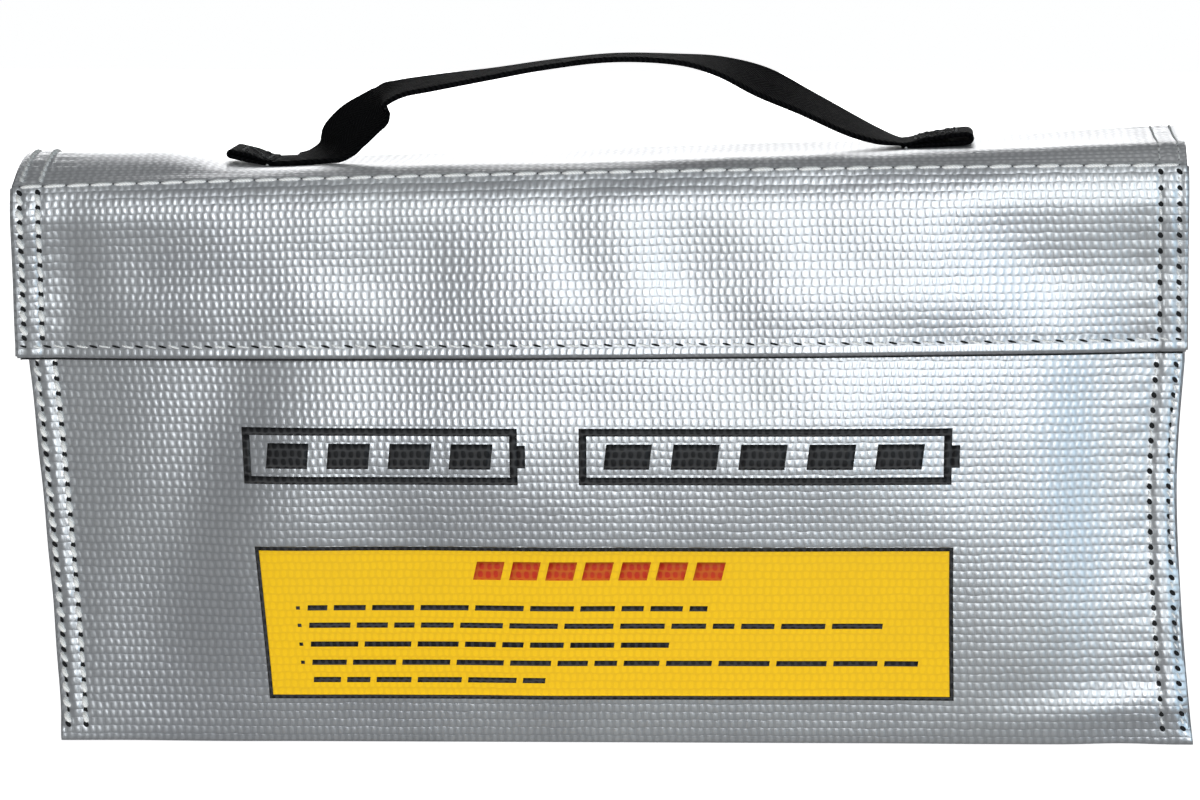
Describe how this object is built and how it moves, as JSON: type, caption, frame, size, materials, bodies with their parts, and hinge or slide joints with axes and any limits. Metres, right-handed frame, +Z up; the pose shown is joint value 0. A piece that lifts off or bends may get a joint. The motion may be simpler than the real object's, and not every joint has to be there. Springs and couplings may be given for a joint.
{
  "type": "fire-resistant battery storage bag",
  "caption": "Gusseted bag of silver-coated glass cloth with a hinged lid, a front flap on hook-and-loop tape and a webbing carry handle, for storing and charging model batteries.",
  "frame": {"origin": "middle of the bag's underside, half way between the seam flanges in X and in Y", "axes": "+X to the right along the mouth, +Y to the back, +Z up; the front flap faces -Y"},
  "size_m": [0.24, 0.0788, 0.1394],
  "materials": {
    "outer_cloth": "silver-coated plain-weave glass cloth, satin sheen",
    "lining_cloth": "pale grey coated glass cloth, duller than the outside",
    "fastening_tape": "black hook-and-loop tape, napped",
    "webbing": "black ribbed polypropylene webbing, matt",
    "white_thread": "white twisted sewing thread",
    "black_thread": "black twisted sewing thread",
    "label_ink": "yellow screen-printed ink over the weave, black frame",
    "black_ink": "black screen-printed ink over the weave"
  },
  "bodies": {
    "body": {"front_panel": "outer_cloth", "back_panel": "outer_cloth", "bottom_panel": "outer_cloth", "gusset_left": "outer_cloth", "gusset_right": "outer_cloth", "lining_front": "lining_cloth", "lining_back": "lining_cloth", "lining_bottom": "lining_cloth", "lining_left": "lining_cloth", "lining_right": "lining_cloth", "loop_tape": "fastening_tape", "loop_tape_thread": "black_thread", "mouth_thread": "white_thread", "label_print": "label_ink", "title_print": "black_ink", "seam_thread_left_front_outer": "white_thread", "seam_thread_left_front_inner": "white_thread", "seam_thread_left_rear_outer": "white_thread", "seam_thread_left_rear_inner": "white_thread", "seam_thread_right_front_outer": "white_thread", "seam_thread_right_front_inner": "white_thread", "seam_thread_right_rear_outer": "white_thread", "seam_thread_right_rear_inner": "white_thread"},
    "lid": {"lid_panel": "outer_cloth", "lid_lining": "lining_cloth", "handle_patch_left": "webbing", "handle_patch_right": "webbing", "handle_tail_left": "webbing", "handle_tail_right": "webbing", "tail_thread_left": "black_thread", "tail_thread_right": "black_thread", "lid_thread_left_outer": "white_thread", "lid_thread_left_inner": "white_thread", "lid_thread_right_outer": "white_thread", "lid_thread_right_inner": "white_thread"},
    "flap": {"flap_panel": "outer_cloth", "flap_lining": "lining_cloth", "hook_tape": "fastening_tape", "hook_tape_thread": "black_thread", "hem_thread": "white_thread", "ridge_thread": "white_thread", "flap_thread_left_outer": "white_thread", "flap_thread_left_inner": "white_thread", "flap_thread_right_outer": "white_thread", "flap_thread_right_inner": "white_thread"},
    "handle": {"handle_strap": "webbing"}
  },
  "joints": [
    {"name": "lid_hinge", "type": "hinge", "parent": "body", "child": "lid", "pos_m": [0, 0.0345, 0.1163], "axis": [-1, 0, 0], "range_deg": [0, 205]},
    {"name": "flap_fold", "type": "hinge", "parent": "lid", "child": "flap", "pos_m": [0, -0.0375, 0.1163], "axis": [-1, 0, 0], "range_deg": [0, 135]},
    {"name": "handle_swing", "type": "hinge", "parent": "lid", "child": "handle", "pos_m": [0, 0, 0.1233], "axis": [1, 0, 0], "range_deg": [-60, 60]}
  ]
}
